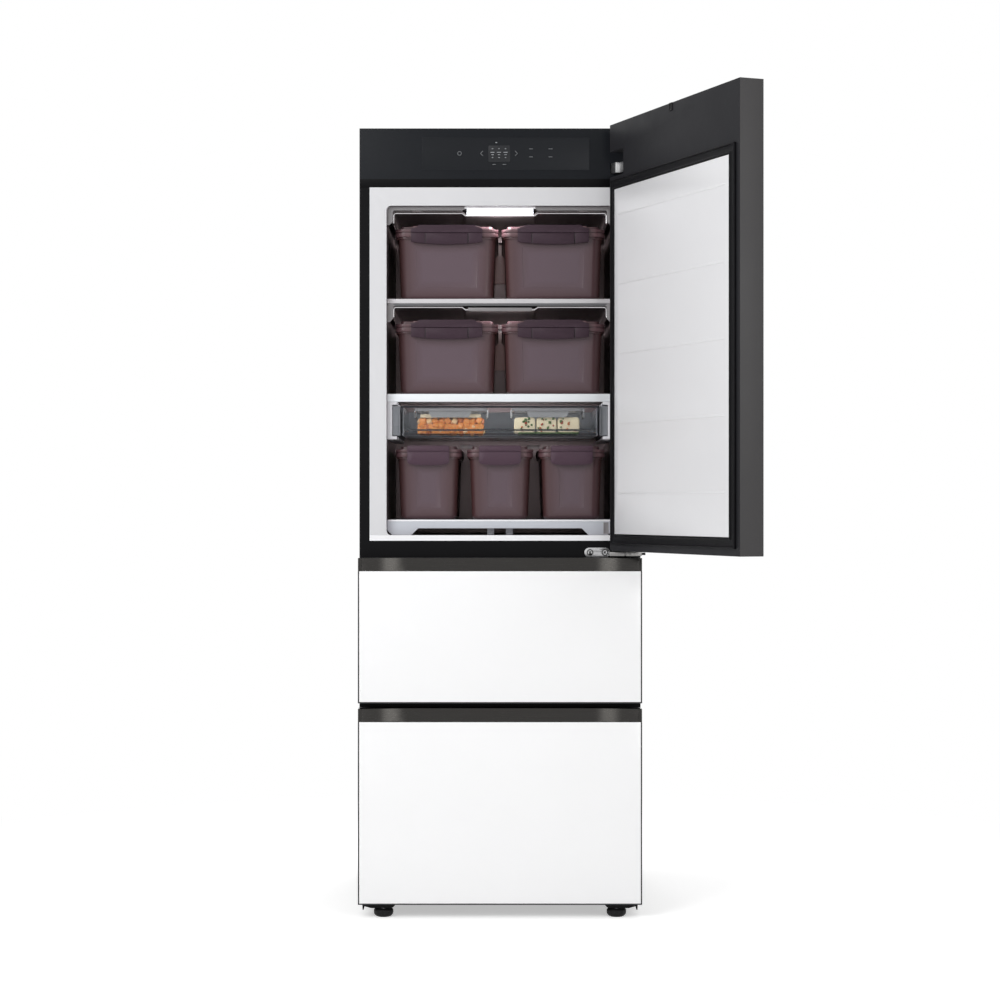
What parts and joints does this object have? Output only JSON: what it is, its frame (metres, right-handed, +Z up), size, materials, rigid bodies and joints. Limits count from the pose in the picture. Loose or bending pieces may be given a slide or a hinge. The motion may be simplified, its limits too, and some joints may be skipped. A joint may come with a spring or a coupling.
{
  "type": "kimchi refrigerator",
  "caption": "Tall stand kimchi refrigerator: a side-hinged door over shelves of lidded containers and a utility tray, with pull-out drawers below.",
  "frame": {"origin": "on the floor, at the centre of the closed refrigerator's footprint", "axes": "+X to the right as seen from the front, +Y to the back, +Z up; the door is open at rest"},
  "size_m": [0.8851, 1.3301, 1.86],
  "materials": {
    "case_paint": "satin",
    "galvanised_sheet": "satin",
    "foam": "matte",
    "white_liner": "satin",
    "grey_liner": "satin",
    "black_steel": "satin",
    "panel_glass": "gloss",
    "light_cover": "satin",
    "steel_panel": "satin",
    "coil_aluminium": "satin",
    "shelf_white": "satin",
    "black_enamel": "satin",
    "coil_black": "satin",
    "plated_steel": "satin",
    "black_plastic": "matte",
    "white_glass": "gloss",
    "door_shell": "satin",
    "gasket_rubber": "matte",
    "drawer_shell": "satin",
    "grip_metal": "satin",
    "bin_plastic": "satin",
    "smoky_clear": "gloss",
    "fan_plastic": "matte",
    "container_body": "satin",
    "container_lid": "satin"
  },
  "bodies": {
    "cabinet": {"outer_case": "case_paint", "back_cover": "galvanised_sheet", "base_pan": "galvanised_sheet", "insulation_foam": "foam", "upper_liner": "white_liner", "drawer_liners": "grey_liner", "front_frame": "black_steel", "control_panel": "panel_glass", "ceiling_light": "light_cover", "duct_panel": "steel_panel", "air_guides": "steel_panel", "evaporator": "coil_aluminium", "shelves": "shelf_white", "bottom_shelf": "shelf_white", "tray_guides": "shelf_white", "compressor": "black_enamel", "condenser": "coil_black", "door_hinges": "plated_steel", "hinge_screws": "plated_steel", "outer_rails": "plated_steel", "power_inlet": "black_plastic"},
    "door": {"door_glass": "white_glass", "door_body": "door_shell", "door_liner": "white_liner", "door_gasket": "gasket_rubber"},
    "middle_drawer": {"middle_glass": "white_glass", "middle_core": "drawer_shell", "middle_grip": "grip_metal", "middle_gasket": "gasket_rubber", "middle_bin": "bin_plastic"},
    "middle_slide_pair": {"middle_slides": "plated_steel"},
    "lower_drawer": {"lower_glass": "white_glass", "lower_core": "drawer_shell", "lower_grip": "grip_metal", "lower_gasket": "gasket_rubber", "lower_bin": "bin_plastic"},
    "lower_slide_pair": {"lower_slides": "plated_steel"},
    "tray": {"utility_tray": "smoky_clear"},
    "fan_rotor": {"evaporator_fan": "fan_plastic"},
    "foot_left": {"left_foot": "black_plastic"},
    "foot_right": {"right_foot": "black_plastic"},
    "roller_pair": {"rear_rollers": "black_plastic"},
    "container_top_left": {"box_top_left": "container_body"},
    "lid_top_left": {"lid_top_left": "container_lid"},
    "latch_top_left": {"latch_top_left": "container_lid"},
    "container_top_right": {"box_top_right": "container_body"},
    "lid_top_right": {"lid_top_right": "container_lid"},
    "latch_top_right": {"latch_top_right": "container_lid"},
    "container_mid_left": {"box_mid_left": "container_body"},
    "lid_mid_left": {"lid_mid_left": "container_lid"},
    "latch_mid_left": {"latch_mid_left": "container_lid"},
    "container_mid_right": {"box_mid_right": "container_body"},
    "lid_mid_right": {"lid_mid_right": "container_lid"},
    "latch_mid_right": {"latch_mid_right": "container_lid"},
    "container_low_left": {"box_low_left": "container_body"},
    "lid_low_left": {"lid_low_left": "container_lid"},
    "container_low_centre": {"box_low_centre": "container_body"},
    "lid_low_centre": {"lid_low_centre": "container_lid"},
    "container_low_right": {"box_low_right": "container_body"},
    "lid_low_right": {"lid_low_right": "container_lid"}
  },
  "joints": [
    {"name": "door_swing", "type": "hinge", "parent": "cabinet", "child": "door", "pos_m": [0.306, -0.3545, 1.3], "axis": [0, 0, 1], "range_deg": [-111.5, 8.5]},
    {"name": "middle_pull", "type": "slide", "parent": "cabinet", "child": "middle_drawer", "axis": [0, -1, 0], "range_m": [0, 0.38]},
    {"name": "middle_slide_run", "type": "slide", "parent": "cabinet", "child": "middle_slide_pair", "axis": [0, -1, 0], "range_m": [0, 0.19]},
    {"name": "lower_pull", "type": "slide", "parent": "cabinet", "child": "lower_drawer", "axis": [0, -1, 0], "range_m": [0, 0.34]},
    {"name": "lower_slide_run", "type": "slide", "parent": "cabinet", "child": "lower_slide_pair", "axis": [0, -1, 0], "range_m": [0, 0.17]},
    {"name": "tray_pull", "type": "slide", "parent": "cabinet", "child": "tray", "axis": [0, -1, 0], "range_m": [0, 0.28]},
    {"name": "fan_spin", "type": "hinge", "parent": "cabinet", "child": "fan_rotor", "pos_m": [0, 0.2225, 1.518], "axis": [0, 1, 0], "continuous": true},
    {"name": "left_foot_turn", "type": "hinge", "parent": "cabinet", "child": "foot_left", "pos_m": [-0.274, -0.3385, 0.01], "axis": [0, 0, 1], "continuous": true},
    {"name": "right_foot_turn", "type": "hinge", "parent": "cabinet", "child": "foot_right", "pos_m": [0.274, -0.3385, 0.01], "axis": [0, 0, 1], "continuous": true},
    {"name": "roller_spin", "type": "hinge", "parent": "cabinet", "child": "roller_pair", "pos_m": [0, 0.3085, 0.016], "axis": [1, 0, 0], "continuous": true},
    {"name": "top_left_pull", "type": "slide", "parent": "cabinet", "child": "container_top_left", "axis": [0, -1, 0], "range_m": [0, 0.3]},
    {"name": "top_left_lid_lift", "type": "slide", "parent": "container_top_left", "child": "lid_top_left", "axis": [0, 0, 1], "range_m": [0, 0.01]},
    {"name": "top_left_latch_flip", "type": "hinge", "parent": "lid_top_left", "child": "latch_top_left", "pos_m": [-0.127, -0.27225, 1.629], "axis": [-1, 0, 0], "range_deg": [0, 90]},
    {"name": "top_right_pull", "type": "slide", "parent": "cabinet", "child": "container_top_right", "axis": [0, -1, 0], "range_m": [0, 0.3]},
    {"name": "top_right_lid_lift", "type": "slide", "parent": "container_top_right", "child": "lid_top_right", "axis": [0, 0, 1], "range_m": [0, 0.01]},
    {"name": "top_right_latch_flip", "type": "hinge", "parent": "lid_top_right", "child": "latch_top_right", "pos_m": [0.127, -0.27225, 1.629], "axis": [-1, 0, 0], "range_deg": [0, 90]},
    {"name": "mid_left_pull", "type": "slide", "parent": "cabinet", "child": "container_mid_left", "axis": [0, -1, 0], "range_m": [0, 0.3]},
    {"name": "mid_left_lid_lift", "type": "slide", "parent": "container_mid_left", "child": "lid_mid_left", "axis": [0, 0, 1], "range_m": [0, 0.01]},
    {"name": "mid_left_latch_flip", "type": "hinge", "parent": "lid_mid_left", "child": "latch_mid_left", "pos_m": [-0.127, -0.27225, 1.403], "axis": [-1, 0, 0], "range_deg": [0, 90]},
    {"name": "mid_right_pull", "type": "slide", "parent": "cabinet", "child": "container_mid_right", "axis": [0, -1, 0], "range_m": [0, 0.3]},
    {"name": "mid_right_lid_lift", "type": "slide", "parent": "container_mid_right", "child": "lid_mid_right", "axis": [0, 0, 1], "range_m": [0, 0.01]},
    {"name": "mid_right_latch_flip", "type": "hinge", "parent": "lid_mid_right", "child": "latch_mid_right", "pos_m": [0.127, -0.27225, 1.403], "axis": [-1, 0, 0], "range_deg": [0, 90]},
    {"name": "low_left_pull", "type": "slide", "parent": "cabinet", "child": "container_low_left", "axis": [0, -1, 0], "range_m": [0, 0.3]},
    {"name": "low_left_lid_lift", "type": "slide", "parent": "container_low_left", "child": "lid_low_left", "axis": [0, 0, 1], "range_m": [0, 0.01]},
    {"name": "low_centre_pull", "type": "slide", "parent": "cabinet", "child": "container_low_centre", "axis": [0, -1, 0], "range_m": [0, 0.3]},
    {"name": "low_centre_lid_lift", "type": "slide", "parent": "container_low_centre", "child": "lid_low_centre", "axis": [0, 0, 1], "range_m": [0, 0.01]},
    {"name": "low_right_pull", "type": "slide", "parent": "cabinet", "child": "container_low_right", "axis": [0, -1, 0], "range_m": [0, 0.3]},
    {"name": "low_right_lid_lift", "type": "slide", "parent": "container_low_right", "child": "lid_low_right", "axis": [0, 0, 1], "range_m": [0, 0.01]}
  ],
  "couplings": [
    {"joint": "middle_slide_run", "follows": "middle_pull", "ratio": 0.5},
    {"joint": "lower_slide_run", "follows": "lower_pull", "ratio": 0.5}
  ]
}
